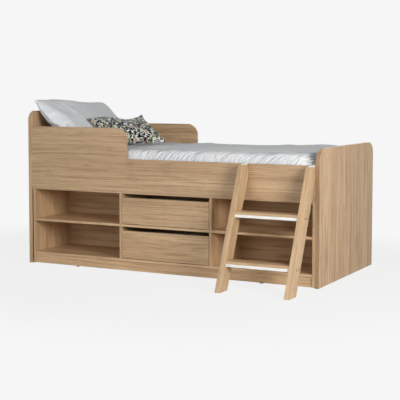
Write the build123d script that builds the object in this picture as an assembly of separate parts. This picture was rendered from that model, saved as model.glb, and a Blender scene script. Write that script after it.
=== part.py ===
from build123d import *
import math
import os

# Low sleeper bed for a single mattress, with shelves and drawers under it and a hook-on ladder.
# Millimetres. X runs along the bed from head to foot, Y from the ladder side to the wall side,
# and Z up from the floor. The origin is on the floor under the middle of the whole outline.

# Bed frame boards
bed_length = 1960
bed_depth = 935
end_thickness = 25
end_edge_radius = 2
head_height = 965
head_corner_radius = 60
foot_height = 775
foot_corner_radius = 75
board_thickness = 15
board_edge_radius = 1
rail_bottom = 472
rail_height = 209
guard_length = 700
guard_drop = 97
guard_corner_radius = 76
guard_flare_radius = 16

# Covers over the fixing screws
cover_radius = 6
cover_rise = 0.6
rail_cover_inset = 164
corner_cover_inset = 43
corner_cover_rise = 48
guard_cover_drop = 28
end_cover_rail_shares = [0.24, 0.84]
end_cover_guard_share = 0.7

# Slatted base
ledge_depth = 25
ledge_height = 36
ledge_rise = 17
slat_width = 70
slat_thickness = 15
slat_end_clearance = 0.5
slat_end_inset = 20
slat_gap = 64

# Storage unit standing on the floor under the bed
storage_head_gap = 10
storage_depth = 388
storage_back_thickness = 3
glide_height = 4
glide_radius = 12
glide_stem_radius = 4
glide_stem_length = 12
plinth_height = 57
plinth_recess = 9
lower_opening_height = 195
shelf_recess = 2
shelf_pin_radius = 2.5
shelf_pin_reach = 8
shelf_pin_depth = 7
shelf_pin_inset = 45
drawer_bay_width = 594

# Drawers
drawer_front_thickness = 15
drawer_front_gap = 3
finger_gap = 24
drawer_board = 12
drawer_side_height = 110
drawer_back_gap = 20
drawer_box_rise = 12
groove_depth = 6
groove_height = 8
drawer_base_thickness = 3

# Bent steel runners with rollers, one pair to each drawer
runner_gap = 12.5
runner_sheet = 1.2
runner_bend = 1.5
runner_height = 24
runner_track_reach = 10.8
runner_cap_reach = 8
runner_under_side = 2
runner_lip_start = 2
roller_radius = 8.5
roller_width = 6
roller_edge = 0.6
roller_wall_gap = 3
roller_clearance = 0.05
roller_inset = 12
roller_pin_radius = 2.5
roller_pin_head = 4
roller_pin_head_thickness = 0.9
roller_pin_float = 0.1

# Ladder
ladder_lean = 23.8
ladder_clearance = 0.3
ladder_spacing = 405
ladder_foot_margin = 25
stile_thickness = 34
stile_width = 85
stile_edge_radius = 2
stile_top_drop = 5
stile_seat_height = 68
tread_rise = 260
lowest_tread = 165
tread_thickness = 32
tread_depth = 78
tread_inset = 1
nosing_height = 16
nosing_thickness = 4
nosing_edge_radius = 1.8
bolt_radius = 3
bolt_depth = 40
bolt_head_radius = 6
bolt_head_rise = 2
bolt_inset = 21
bolt_spacing = 36
bolt_drop = 22
hook_width = 24
hook_plate = 3.2
hook_seat_length = 36
hook_drop = 26
hook_rise = 9
hook_edge_radius = 1.5
hook_wall_gap = 5

# Mattress and bedding
soft_gap = 0.3
mattress_end_gap = 6
mattress_back_gap = 2.5
mattress_thickness = 170
mattress_corner_radius = 30
mattress_edge_radius = 12
quilt_thickness = 30
quilt_tuck_thickness = 8
quilt_tuck_depth = 75
quilt_tuck_gap = 0.7
quilt_edge_radius = 24
quilt_foot_gap = 6
quilt_pillow_gap = 8
pillow_length = 690
pillow_width = 455
pillow_thickness = 130
pillow_corner_radius = 40
pillow_lean = 39
pillow_turn = 4
pillow_head_gap = 8
pillow_front_gap = 6
cushion_length = 400
cushion_width = 335
cushion_thickness = 105
cushion_corner_radius = 30
cushion_lean = 28
cushion_turn = 27
cushion_from_front = 337
cushion_settling_steps = 12

# A stuffed case swells from its seam in steps, as shares of its outline and half thickness
swell_outline_shares = [1.0, 0.95, 0.82, 0.55]
swell_height_shares = [0.05, 0.45, 0.8, 1.0]

# Places that follow from the sizes
head_outer = -bed_length / 2
head_inner = head_outer + end_thickness
foot_outer = bed_length / 2
foot_inner = foot_outer - end_thickness
rail_top = rail_bottom + rail_height
guard_top = head_height - guard_drop
guard_height = guard_top - rail_top
lean_slope = math.tan(math.radians(ladder_lean))
stile_run = stile_width / math.cos(math.radians(ladder_lean))
stile_top = rail_top - stile_top_drop
stile_knee = stile_top - stile_seat_height
ladder_reach = ladder_clearance + stile_knee * lean_slope + stile_run
front_face = (ladder_reach - bed_depth) / 2
back_face = front_face + bed_depth
front_inner = front_face + board_thickness
back_inner = back_face - board_thickness
ledge_bottom = rail_bottom + ledge_rise
slat_bottom = ledge_bottom + ledge_height
slat_top = slat_bottom + slat_thickness


def save(name, *solids):
    """Writes one named piece, or a group of like pieces."""
    shape = solids[0] if len(solids) == 1 else Compound(list(solids))
    export_step(shape, "parts/" + name + ".step")


def board(x_span, y_span, z_span):
    """A square-edged board between a low and a high value on each axis."""
    spans = (x_span, y_span, z_span)
    size = [high - low for low, high in spans]
    middle = [(low + high) / 2 for low, high in spans]
    return Pos(*middle) * Box(*size)


def front_eased(shape, along):
    """The same board with its front edges along one axis rounded over."""
    return fillet(shape.edges().filter_by(along).group_by(Axis.Y)[0], board_edge_radius)


def long_eased(shape, along):
    """The same board with its four long edges rounded over."""
    return fillet(shape.edges().filter_by(along), board_edge_radius)


def facing(outline, y_low, y_high):
    """An outline drawn in X and Z, as thick as the two Y values are apart."""
    return extrude(Plane.XZ.offset(-y_high) * outline, y_high - y_low)


def sideways(outline, x_low, x_high):
    """An outline drawn in Y and Z, as thick as the two X values are apart."""
    return extrude(Plane.YZ.offset(x_low) * outline, x_high - x_low)


def turned(radius, x_low, x_high, y, z):
    """A round bar along X."""
    return sideways(Pos(y, z) * Circle(radius), x_low, x_high)


os.makedirs("parts", exist_ok=True)


# End panels
def end_panel(x_low, height, corner_radius):
    """An end panel that stands on the floor, with both top corners rounded."""
    outline = Pos((front_face + back_face) / 2, height / 2) * Rectangle(bed_depth, height)
    outline = fillet(outline.vertices().group_by(Axis.Y)[-1], corner_radius)
    panel = sideways(outline, x_low, x_low + end_thickness)
    return fillet(panel.faces().filter_by(Axis.X).edges(), end_edge_radius)


save("head_end_panel", end_panel(head_outer, head_height, head_corner_radius))
save("foot_end_panel", end_panel(foot_inner, foot_height, foot_corner_radius))


# Side rails and the guards that stand on them at the head end
def rail(y_low):
    """A side rail between the end panels."""
    shape = board((head_inner, foot_inner), (y_low, y_low + board_thickness), (rail_bottom, rail_top))
    return long_eased(shape, Axis.X)


def guard(y_low):
    """A guard board: rounded at its free top corner, flared where it meets the rail."""
    free_end = head_inner + guard_length
    outline = Pos(head_inner + guard_length / 2, rail_top + guard_height / 2)
    outline = outline * Rectangle(guard_length, guard_height)
    corner = outline.vertices().group_by(Axis.X)[-1].sort_by(Axis.Y)[-1]
    corner_radius = min(guard_corner_radius, guard_height - guard_flare_radius - board_edge_radius)
    outline = fillet(corner, corner_radius)
    flare_middle = (free_end + guard_flare_radius / 2, rail_top + guard_flare_radius / 2)
    flare = Pos(*flare_middle) * Rectangle(guard_flare_radius, guard_flare_radius)
    flare -= Pos(free_end + guard_flare_radius, rail_top + guard_flare_radius) * Circle(guard_flare_radius)
    shape = facing(outline + flare, y_low, y_low + board_thickness)
    upper = shape.edges().filter_by_position(Axis.Z, guard_top - corner_radius, guard_top)
    return fillet(upper.filter_by(Axis.Y, reverse=True), board_edge_radius)


save("front_rail", rail(front_face))
save("back_rail", rail(back_inner))
save("front_guard", guard(front_face))
save("back_guard", guard(back_inner))


# Plastic covers over the fixing screws, on the front boards and on the end panels
def front_cover(x, z):
    """A cover on the front face of a rail or guard."""
    return facing(Pos(x, z) * Circle(cover_radius), front_face - cover_rise, front_face)


def end_cover(x_low, y, z):
    """A cover on the outer face of an end panel."""
    return turned(cover_radius, x_low, x_low + cover_rise, y, z)


rail_cover_z = ledge_bottom + ledge_height / 2
corner_cover_z = rail_bottom + corner_cover_rise
front_covers = [front_cover(x, rail_cover_z)
                for x in (head_outer + rail_cover_inset, 0, foot_outer - rail_cover_inset)]
front_covers += [front_cover(x, corner_cover_z)
                 for x in (head_outer + corner_cover_inset, foot_outer - corner_cover_inset)]
front_covers += [front_cover(head_outer + corner_cover_inset, guard_top - guard_cover_drop)]
save("front_screw_covers", *front_covers)
rail_lines = (front_face + board_thickness / 2, back_face - board_thickness / 2)
rail_cover_rows = [rail_bottom + share * rail_height for share in end_cover_rail_shares]
guard_cover_row = rail_top + end_cover_guard_share * guard_height
head_covers = [end_cover(head_outer - cover_rise, y, z)
               for y in rail_lines for z in (*rail_cover_rows, guard_cover_row)]
foot_covers = [end_cover(foot_outer, y, z) for y in rail_lines for z in rail_cover_rows]
save("head_screw_covers", *head_covers)
save("foot_screw_covers", *foot_covers)


# Slatted base: ledges screwed inside the rails, with loose slats across them
ledge_z = (ledge_bottom, slat_bottom)
front_ledge = board((head_inner, foot_inner), (front_inner, front_inner + ledge_depth), ledge_z)
back_ledge = board((head_inner, foot_inner), (back_inner - ledge_depth, back_inner), ledge_z)
save("front_slat_ledge", long_eased(front_ledge, Axis.X))
save("back_slat_ledge", long_eased(back_ledge, Axis.X))

slat_room = foot_inner - head_inner - 2 * slat_end_inset
slat_count = int((slat_room + slat_gap) / (slat_width + slat_gap))
slat_pitch = (slat_room - slat_width) / (slat_count - 1)
slat_span = (front_inner + slat_end_clearance, back_inner - slat_end_clearance)
slats = []
for place in range(slat_count):
    slat_start = head_inner + slat_end_inset + place * slat_pitch
    slat = board((slat_start, slat_start + slat_width), slat_span, (slat_bottom, slat_top))
    slats.append(fillet(slat.faces().sort_by(Axis.Z)[-1].edges(), board_edge_radius))
save("slats", *slats)

# Storage unit: its boards, from the floor up
storage_head = head_inner + storage_head_gap
storage_foot = foot_inner
storage_middle = (storage_head + storage_foot) / 2
storage_back = front_face + storage_depth
storage_inside = storage_back - storage_back_thickness
storage_y = (front_face, storage_inside)
base_bottom = glide_height + plinth_height
base_top = base_bottom + board_thickness
middle_bottom = base_top + lower_opening_height
middle_top = middle_bottom + board_thickness
bay_head = storage_middle - drawer_bay_width / 2
bay_foot = storage_middle + drawer_bay_width / 2
inner_head = storage_head + board_thickness
inner_foot = storage_foot - board_thickness

side_z = (glide_height, rail_bottom)
side_head = board((storage_head, inner_head), storage_y, side_z)
side_foot = board((inner_foot, storage_foot), storage_y, side_z)
divider_z = (base_top, rail_bottom)
divider_head = board((bay_head - board_thickness, bay_head), storage_y, divider_z)
divider_foot = board((bay_foot, bay_foot + board_thickness), storage_y, divider_z)
save("storage_base_board",
     front_eased(board((inner_head, inner_foot), storage_y, (base_bottom, base_top)), Axis.X))
save("storage_top_board",
     board((storage_head, storage_foot), (front_inner, storage_inside),
           (rail_bottom, rail_bottom + board_thickness)))
save("drawer_middle_board",
     front_eased(board((bay_head, bay_foot), storage_y, (middle_bottom, middle_top)), Axis.X))
back_z = (base_bottom, rail_bottom + board_thickness)
save("storage_back_panel", board((storage_head, storage_foot), (storage_inside, storage_back), back_z))


# Plinths between the sides, on plastic glides under the middle of each side opening
def glide(x, y):
    """A glide: a round foot with a stem up into the plinth."""
    foot = Pos(x, y, glide_height / 2) * Cylinder(glide_radius, glide_height)
    foot = fillet(foot.edges().group_by(Axis.Z)[0], glide_height / 3)
    stem = Pos(x, y, glide_height + glide_stem_length / 2) * Cylinder(glide_stem_radius, glide_stem_length)
    return foot + stem


def plinth(y_low, glides):
    """A plinth board, drilled for its glides."""
    shape = board((inner_head, inner_foot), (y_low, y_low + board_thickness), (glide_height, base_bottom))
    return shape - glides


glide_x = ((inner_head + bay_head - board_thickness) / 2, (bay_foot + board_thickness + inner_foot) / 2)
front_plinth_y = front_face + plinth_recess
back_plinth_y = storage_inside - board_thickness
front_glides = [glide(x, front_plinth_y + board_thickness / 2) for x in glide_x]
back_glides = [glide(x, back_plinth_y + board_thickness / 2) for x in glide_x]
save("front_plinth", plinth(front_plinth_y, front_glides))
save("back_plinth", plinth(back_plinth_y, back_glides))
save("storage_glides", *front_glides, *back_glides)


# Shelves on steel pins, one in each side opening; each pin sits in a drilled board
def pin_row(x_low, x_high):
    """The two pins in one board, just under a shelf."""
    z = middle_bottom - shelf_pin_radius
    places = (front_face + shelf_pin_inset, storage_inside - shelf_pin_inset)
    return [turned(shelf_pin_radius, x_low, x_high, y, z) for y in places]


pins_side_head = pin_row(inner_head - shelf_pin_depth, inner_head + shelf_pin_reach)
pins_divider_head = pin_row(bay_head - board_thickness - shelf_pin_reach,
                            bay_head - board_thickness + shelf_pin_depth)
pins_divider_foot = pin_row(bay_foot + board_thickness - shelf_pin_depth,
                            bay_foot + board_thickness + shelf_pin_reach)
pins_side_foot = pin_row(inner_foot - shelf_pin_reach, inner_foot + shelf_pin_depth)
save("shelf_pins", *pins_side_head, *pins_divider_head, *pins_divider_foot, *pins_side_foot)
save("storage_side_head", front_eased(side_head - pins_side_head, Axis.Z))
save("storage_side_foot", front_eased(side_foot - pins_side_foot, Axis.Z))
save("divider_head", front_eased(divider_head - pins_divider_head, Axis.Z))
save("divider_foot", front_eased(divider_foot - pins_divider_foot, Axis.Z))


def shelf(x_low, x_high):
    """A shelf between a side and a divider, set back a little at the front."""
    shape = board((x_low, x_high), (front_face + shelf_recess, storage_inside), (middle_bottom, middle_top))
    return front_eased(shape, Axis.X)


save("shelf_head", shelf(inner_head, bay_head - board_thickness))
save("shelf_foot", shelf(bay_foot + board_thickness, inner_foot))


# Drawers: a front on a box of thin boards, with the base held in grooves
box_head = bay_head + runner_gap
box_foot = bay_foot - runner_gap
box_front = front_face + drawer_front_thickness
box_back = storage_inside - drawer_back_gap


def drawer(name, opening_bottom, opening_top):
    """Saves the pieces of one drawer box and gives the height of its underside."""
    front_z = (opening_bottom + drawer_front_gap, opening_top - finger_gap)
    front_x = (bay_head + drawer_front_gap, bay_foot - drawer_front_gap)
    box_bottom = front_z[0] + drawer_box_rise
    box_z = (box_bottom, box_bottom + drawer_side_height)
    base_z = (box_bottom + groove_height, box_bottom + groove_height + drawer_base_thickness)
    base_x = (box_head + drawer_board - groove_depth, box_foot - drawer_board + groove_depth)
    base = board(base_x, (box_front - groove_depth, box_back), base_z)
    front = board(front_x, (front_face, box_front), front_z)
    front = fillet(front.faces().sort_by(Axis.Y)[0].edges(), board_edge_radius)
    side_y = (box_front, box_back)
    left = long_eased(board((box_head, box_head + drawer_board), side_y, box_z), Axis.Y)
    right = long_eased(board((box_foot - drawer_board, box_foot), side_y, box_z), Axis.Y)
    back_x = (box_head + drawer_board, box_foot - drawer_board)
    back = board(back_x, (box_back - drawer_board, box_back), (base_z[1], box_z[1]))
    save(name + "_drawer_front", front - base)
    save(name + "_drawer_side_head", left - base)
    save(name + "_drawer_side_foot", right - base)
    save(name + "_drawer_back", back)
    save(name + "_drawer_base", base)
    return box_bottom


# Roller runners, drawn at the head side of the bay and mirrored to the other
roller_bottom = runner_sheet + roller_clearance
roller_axle = roller_bottom + roller_radius
lip_bottom = roller_axle + roller_radius + roller_clearance
roller_end = roller_wall_gap + roller_width


def bent_sheet(points, y_low, y_high):
    """A strip of sheet bent along the middle line given in X and Z."""
    line = FilletPolyline(*points, radius=runner_bend)
    return facing(make_face(offset(line, amount=runner_sheet / 2, side=Side.BOTH).edges()), y_low, y_high)


def riveted_pin(x_root, x_side, y, z):
    """A roller's pin: shoulder, journal and head, standing out of a runner's web."""
    shoulder_end = roller_wall_gap - roller_pin_float if x_side > 0 else roller_end + roller_pin_float
    head_start = roller_end + roller_pin_float if x_side > 0 else roller_wall_gap - roller_pin_float
    head_end = head_start + x_side * roller_pin_head_thickness
    shoulder = turned(roller_pin_head, *sorted((x_root, bay_head + shoulder_end)), y, z)
    journal = turned(roller_pin_radius, *sorted((x_root, bay_head + head_end)), y, z)
    head = turned(roller_pin_head, *sorted((bay_head + head_start, bay_head + head_end)), y, z)
    return shoulder + journal + head


def roller(y, z):
    """A plastic roller, free on its pin."""
    outline = Circle(roller_radius) - Circle(roller_pin_radius + roller_clearance)
    shape = sideways(Pos(y, z) * outline, bay_head + roller_wall_gap, bay_head + roller_end)
    rims = shape.edges().filter_by(GeomType.CIRCLE).sort_by(SortBy.RADIUS)[-2:]
    return fillet(rims, roller_edge)


def both_sides(shape):
    """A piece on the head side of the bay with its mirrored partner."""
    return shape, mirror(shape, about=Plane.YZ.offset(storage_middle))


def runners(name, box_bottom):
    """Saves the fixed runners, the drawer's runners and their rollers."""
    low = box_bottom - runner_under_side
    half = runner_sheet / 2
    fixed_line = [(bay_head + runner_track_reach, low + half), (bay_head + half, low + half),
                  (bay_head + half, low + runner_height - half),
                  (bay_head + runner_cap_reach, low + runner_height - half)]
    web = box_head - half
    moving_line = [(bay_head + runner_lip_start, low + lip_bottom + half), (web, low + lip_bottom + half),
                   (web, box_bottom - half), (box_head + drawer_board, box_bottom - half)]
    front_axle_y = box_front + roller_inset
    back_axle_y = box_back - roller_inset
    axle_z = low + roller_axle
    fixed = bent_sheet(fixed_line, box_front, box_back)
    fixed += riveted_pin(bay_head + half, 1, front_axle_y, axle_z)
    moving = bent_sheet(moving_line, box_front, box_back)
    moving += riveted_pin(web, -1, back_axle_y, axle_z)
    save(name + "_fixed_runners", *both_sides(fixed))
    save(name + "_drawer_runners", *both_sides(moving))
    save(name + "_front_rollers", *both_sides(roller(front_axle_y, axle_z)))
    save(name + "_rear_rollers", *both_sides(roller(back_axle_y, axle_z)))


runners("lower", drawer("lower", base_top, middle_bottom))
runners("upper", drawer("upper", middle_top, rail_bottom))

# Ladder: leaning stiles cut flat at the floor, at the rail and at the top
ladder_back = front_face - ladder_clearance
foot_back = ladder_back - stile_knee * lean_slope
foot_front = foot_back - stile_run
tread_tops = (lowest_tread, lowest_tread + tread_rise)
stile_foot_x = foot_outer - ladder_foot_margin - stile_thickness
stile_places = (stile_foot_x - ladder_spacing, stile_foot_x)
tread_x = (stile_places[0] + stile_thickness, stile_places[1])


def tread_front(top):
    """The front of a tread whose upper face is at this height."""
    return foot_front + top * lean_slope + tread_inset


def bolt(x_low, x_high, x_side, y, z):
    """A bolt from a stile's outer face into a tread's end, with a low rounded head."""
    shank = turned(bolt_radius, x_low, x_high, y, z)
    outer = x_low if x_side < 0 else x_high
    head = turned(bolt_head_radius, *sorted((outer, outer + x_side * bolt_head_rise)), y, z)
    rim = head.edges().filter_by(GeomType.CIRCLE).sort_by(Axis.X)[0 if x_side < 0 else -1]
    return shank + fillet(rim, bolt_head_rise / 2)


def tread_bolts(x_side):
    """The four bolts through one stile, two into each tread."""
    outer = stile_places[0] if x_side < 0 else stile_places[1] + stile_thickness
    inner = outer - x_side * (stile_thickness + bolt_depth)
    places = [(tread_front(top) + bolt_inset + step, top - bolt_drop)
              for top in tread_tops for step in (0, bolt_spacing)]
    return [bolt(*sorted((outer, inner)), x_side, y, z) for y, z in places]


def stile(x_low, bolts):
    """A stile, drilled for the bolts that hold the treads."""
    corners = [(foot_front, 0), (foot_back, 0), (ladder_back, stile_knee), (ladder_back, stile_top),
               (foot_front + stile_top * lean_slope, stile_top)]
    outline = make_face(Polyline(*corners, close=True))
    shape = sideways(outline, x_low, x_low + stile_thickness)
    shape = fillet(shape.faces().filter_by(Axis.X).edges(), stile_edge_radius)
    return shape - bolts


head_bolts = tread_bolts(-1)
foot_bolts = tread_bolts(1)
save("ladder_stile_head", stile(stile_places[0], head_bolts))
save("ladder_stile_foot", stile(stile_places[1], foot_bolts))
save("tread_bolts", *head_bolts, *foot_bolts)

# Treads, each with a white strip let into the lower half of its front edge
for tread_name, tread_top in zip(("lower", "upper"), tread_tops):
    nosing_front = tread_front(tread_top)
    tread_bottom = tread_top - tread_thickness
    tread = board(tread_x, (nosing_front, nosing_front + tread_depth), (tread_bottom, tread_top))
    tread = fillet(tread.edges().filter_by(Axis.X), board_edge_radius)
    nosing_y = (nosing_front, nosing_front + nosing_thickness)
    nosing = board(tread_x, nosing_y, (tread_bottom, tread_bottom + nosing_height))
    tread = tread - nosing - head_bolts - foot_bolts
    nosing = fillet(nosing.edges().filter_by(Axis.X).group_by(Axis.Y)[0], nosing_edge_radius)
    save(tread_name + "_tread", tread)
    save(tread_name + "_tread_nosing", nosing)


# Hooks on the stile tops, which drop over the rail
def hook(x_middle):
    """A white bracket: seat on the stile, bridge over the rail, tongue down behind it."""
    seat = ladder_back - hook_seat_length
    bridge = rail_top + ladder_clearance
    tongue = front_inner + ladder_clearance
    top = stile_top + hook_rise
    corners = [(seat, stile_top), (ladder_back, stile_top), (ladder_back, bridge), (tongue, bridge),
               (tongue, rail_top - hook_drop), (tongue + hook_plate, rail_top - hook_drop),
               (tongue + hook_plate, top), (ladder_back - hook_plate, top),
               (seat, stile_top + hook_plate)]
    outline = make_face(Polyline(*corners, close=True))
    shape = sideways(outline, x_middle - hook_width / 2, x_middle + hook_width / 2)
    crown = shape.edges().filter_by(Axis.X).group_by(Axis.Z)[-1]
    return fillet(crown, hook_edge_radius)


hook_shift = (stile_thickness - hook_width) / 2 - hook_wall_gap
hooks = [hook(x + stile_thickness / 2 + hook_shift) for x in stile_places]
save("ladder_hooks", *hooks)

# Mattress between the rails, with room at the front for the hooks and the tucked quilt
tuck_outer = front_inner + ladder_clearance + hook_plate + quilt_tuck_gap
tuck_inner = tuck_outer + quilt_tuck_thickness
mattress_x = (head_inner + mattress_end_gap, foot_inner - mattress_end_gap)
mattress_y = (tuck_inner + soft_gap, back_inner - mattress_back_gap)
mattress_z = (slat_top + soft_gap, slat_top + soft_gap + mattress_thickness)
mattress = board(mattress_x, mattress_y, mattress_z)
mattress = fillet(mattress.edges().filter_by(Axis.Z), mattress_corner_radius)
mattress = fillet(mattress.faces().filter_by(Axis.Z).edges(), mattress_edge_radius)
save("mattress", mattress)


# Pillow and cushion: stuffed cases that swell from a seam, leaning back towards the head
def stuffed_half(length, width, thickness, corner_radius, side):
    """One face of a stuffed case, from the seam to the crown."""
    rings = [RectangleRounded(width, length, corner_radius)]
    for outline_share, height_share in zip(swell_outline_shares, swell_height_shares):
        ring = RectangleRounded(width * outline_share, length * outline_share, corner_radius * outline_share)
        rings.append(Pos(0, 0, side * thickness / 2 * height_share) * ring)
    steps = [loft([lower, upper], ruled=True) for lower, upper in zip(rings, rings[1:])]
    return steps[0] + steps[1:]


def stuffed_case(length, width, thickness, corner_radius, lean, turn):
    """A stuffed case with its seam leaning back, turned a little on the bed."""
    halves = [stuffed_half(length, width, thickness, corner_radius, side) for side in (-1, 1)]
    return Rot(0, 0, -turn) * Rot(0, lean, 0) * (halves[0] + halves[1])


def seated(shape, surface):
    """The shape with its lowest point just clear of a level surface."""
    return Pos(0, 0, surface + soft_gap - shape.bounding_box().min.Z) * shape


def leaned(shape, support):
    """The shape slid towards the head until it is just clear of what it leans on."""
    for _ in range(cushion_settling_steps):
        shape = Pos(soft_gap - shape.distance_to(support), 0, 0) * shape
    return shape


pillow = stuffed_case(pillow_length, pillow_width, pillow_thickness, pillow_corner_radius,
                      pillow_lean, pillow_turn)
pillow = seated(pillow, mattress_z[1])
pillow_low = pillow.bounding_box().min
pillow_place = (head_inner + pillow_head_gap - pillow_low.X, front_inner + pillow_front_gap - pillow_low.Y)
pillow = Pos(*pillow_place, 0) * pillow
pillow_foot = pillow.bounding_box().max.X
save("pillow", pillow)

# Quilt over the mattress, tucked down at the front between mattress and rail
quilt_bottom = mattress_z[1] + soft_gap
quilt_top = quilt_bottom + quilt_thickness
tuck_bottom = quilt_bottom - quilt_tuck_depth
quilt_corners = [(tuck_outer, tuck_bottom), (tuck_inner, tuck_bottom), (tuck_inner, quilt_bottom),
                 (mattress_y[1], quilt_bottom), (mattress_y[1], quilt_top), (tuck_outer, quilt_top)]
quilt_outline = make_face(Polyline(*quilt_corners, close=True))
quilt_outline = fillet(quilt_outline.vertices().group_by(Axis.Y)[-1], quilt_edge_radius)
save("quilt", sideways(quilt_outline, pillow_foot + quilt_pillow_gap, foot_inner - quilt_foot_gap))

# Patterned cushion on the quilt, leaning on the pillow
cushion = stuffed_case(cushion_length, cushion_width, cushion_thickness, cushion_corner_radius,
                       cushion_lean, cushion_turn)
cushion = Pos(pillow_foot - cushion.bounding_box().min.X, front_face + cushion_from_front, 0) * cushion
save("patterned_cushion", leaned(seated(cushion, quilt_top), pillow))
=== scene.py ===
import math

import bpy
import mathutils
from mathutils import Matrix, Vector


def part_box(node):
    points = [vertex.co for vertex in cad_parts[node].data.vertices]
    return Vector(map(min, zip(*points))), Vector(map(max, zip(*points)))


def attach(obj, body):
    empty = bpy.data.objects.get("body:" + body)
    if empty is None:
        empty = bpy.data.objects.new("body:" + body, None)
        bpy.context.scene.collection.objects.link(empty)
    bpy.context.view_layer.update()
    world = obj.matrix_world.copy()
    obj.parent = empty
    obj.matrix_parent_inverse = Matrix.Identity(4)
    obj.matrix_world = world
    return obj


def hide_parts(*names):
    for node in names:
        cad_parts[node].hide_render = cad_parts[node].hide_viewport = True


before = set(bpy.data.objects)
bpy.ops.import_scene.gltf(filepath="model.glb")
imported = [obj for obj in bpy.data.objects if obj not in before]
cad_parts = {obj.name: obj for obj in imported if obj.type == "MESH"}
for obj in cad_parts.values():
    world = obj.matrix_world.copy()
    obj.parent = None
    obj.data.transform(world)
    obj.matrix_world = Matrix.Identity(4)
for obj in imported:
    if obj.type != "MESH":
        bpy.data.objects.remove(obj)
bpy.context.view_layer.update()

# Viewpoint: the bed seen from its foot end on the ladder side, from a little above the height of
# the head panel, through a long lens. The picture's straight edges gave the place and the lens.
camera_place = (3.003, -5.642, 1.080)
camera_turn = 27.28
camera_dip = 4.24
camera_roll = 0.08
picture_width = 400
focal_pixels = 1042.07
centre_above_middle = 30
sensor_width = 36

bpy.ops.object.select_all(action="DESELECT")
bpy.ops.object.camera_add(
    location=camera_place,
    rotation=[math.radians(a) for a in (90 - camera_dip, -camera_roll, camera_turn)],
)
viewpoint = bpy.context.object
viewpoint.name = "viewpoint"
viewpoint.data.sensor_width = sensor_width
viewpoint.data.lens = focal_pixels * sensor_width / picture_width
viewpoint.data.shift_y = -centre_above_middle / picture_width
viewpoint.data.clip_end = 60
bpy.context.scene.camera = viewpoint
bpy.context.scene.view_settings.view_transform = "Standard"

# Studio: a pale floor that fades into a pale surround a few steps from the bed, with a near soft
# lamp low on the right, a broad one in front, a weak one high up and one behind. The surround
# gives less light from above than from the sides.
surround_shade = 246
surround_glow = 0.29
ceiling_share = 0.15
ceiling_span = (0.1, 0.8)
surround_tint = (0.94, 0.97, 1.0)
floor_reach = 40
floor_drop = 0.0004
floor_evenness = 0.90
floor_paint = 0.80
floor_fade = (1.2, 2.2)
floor_oval = (0.7, 1, 0)
lamps = {
    "key_lamp": {"place": (3.6, -2.3, 1.5), "size": 1.4, "power": 122, "tint": (1.0, 0.99, 0.97)},
    "front_lamp": {"place": (-1.4, -6.4, 1.3), "size": 3.2, "power": 95, "tint": (1.0, 1.0, 1.0)},
    "high_lamp": {"place": (-0.7, -4.0, 3.2), "size": 2.4, "power": 27, "tint": (0.98, 0.99, 1.0)},
    "wall_lamp": {"place": (-1.0, 6.5, 3.2), "size": 3.0, "power": 60, "tint": (1.0, 1.0, 1.0)},
}
lamp_aim = (0.0, 0.0, 0.45)


def step(tree, kind, inputs=None, **settings):
    """Adds a shader step: an input that is a socket gets linked, and any other is set."""
    made = tree.nodes.new("ShaderNode" + kind)
    for name, value in settings.items():
        setattr(made, name, value)
    for socket, value in (inputs or {}).items():
        if isinstance(value, bpy.types.NodeSocket):
            tree.links.new(value, made.inputs[socket])
        else:
            made.inputs[socket].default_value = value
    return made


def paint(red, green, blue):
    """A colour as the eye sees it, 0 to 255, in the light's own scale."""
    return (*[(c / 255) ** 2.2 for c in (red, green, blue)], 1)


def seen_directly(tree):
    """1 where the surround is looked at, straight or in a reflection, and 0 where it lights."""
    rays = step(tree, "LightPath").outputs
    straight = step(tree, "Math", {0: rays["Is Camera Ray"], 1: rays["Is Glossy Ray"]}, operation="MAXIMUM")
    every = {0: straight.outputs[0], 1: rays["Is Transmission Ray"]}
    return step(tree, "Math", every, operation="MAXIMUM").outputs[0]


surround = bpy.data.worlds.new("studio_surround")
bpy.context.scene.world = surround
surround.use_nodes = True
tree = surround.node_tree
tree.nodes.clear()
up = step(tree, "SeparateXYZ", {0: step(tree, "TexCoord").outputs["Generated"]}).outputs[2]
spans = {0: up, 1: ceiling_span[0], 2: ceiling_span[1], 3: surround_glow, 4: surround_glow * ceiling_share}
ceiling = step(tree, "MapRange", spans, interpolation_type="SMOOTHSTEP").outputs[0]
soft_light = step(tree, "Background", {"Color": (*surround_tint, 1), "Strength": ceiling})
pale_wall = step(tree, "Background", {"Color": paint(*[surround_shade] * 3), "Strength": 1.0})
which = step(tree, "MixShader", {0: seen_directly(tree), 1: soft_light.outputs[0], 2: pale_wall.outputs[0]})
step(tree, "OutputWorld", {"Surface": which.outputs[0]})

bpy.ops.object.select_all(action="DESELECT")
bpy.ops.mesh.primitive_plane_add(size=floor_reach, location=(0, 0, -floor_drop))
studio_floor = bpy.context.object
studio_floor.name = "studio_floor"
floor_finish = bpy.data.materials.new("studio_floor")
floor_finish.use_nodes = True
tree = floor_finish.node_tree
tree.nodes.clear()
around = step(tree, "Mapping", {"Vector": step(tree, "TexCoord").outputs["Object"], "Scale": floor_oval})
reach = step(tree, "VectorMath", {0: around.outputs[0]}, operation="LENGTH").outputs["Value"]
spans = {0: reach, 1: floor_fade[0], 2: floor_fade[1], 3: floor_evenness, 4: 1.0}
fade = step(tree, "MapRange", spans, interpolation_type="SMOOTHSTEP").outputs[0]
even = step(tree, "Math", {0: seen_directly(tree), 1: fade}, operation="MULTIPLY")
matt = step(tree, "BsdfDiffuse", {"Color": (floor_paint, floor_paint, floor_paint, 1)})
glow = step(tree, "Emission", {"Color": paint(*[surround_shade] * 3), "Strength": 1.0})
which = step(tree, "MixShader", {0: even.outputs[0], 1: matt.outputs[0], 2: glow.outputs[0]})
step(tree, "OutputMaterial", {"Surface": which.outputs[0]})
studio_floor.data.materials.append(floor_finish)

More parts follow.
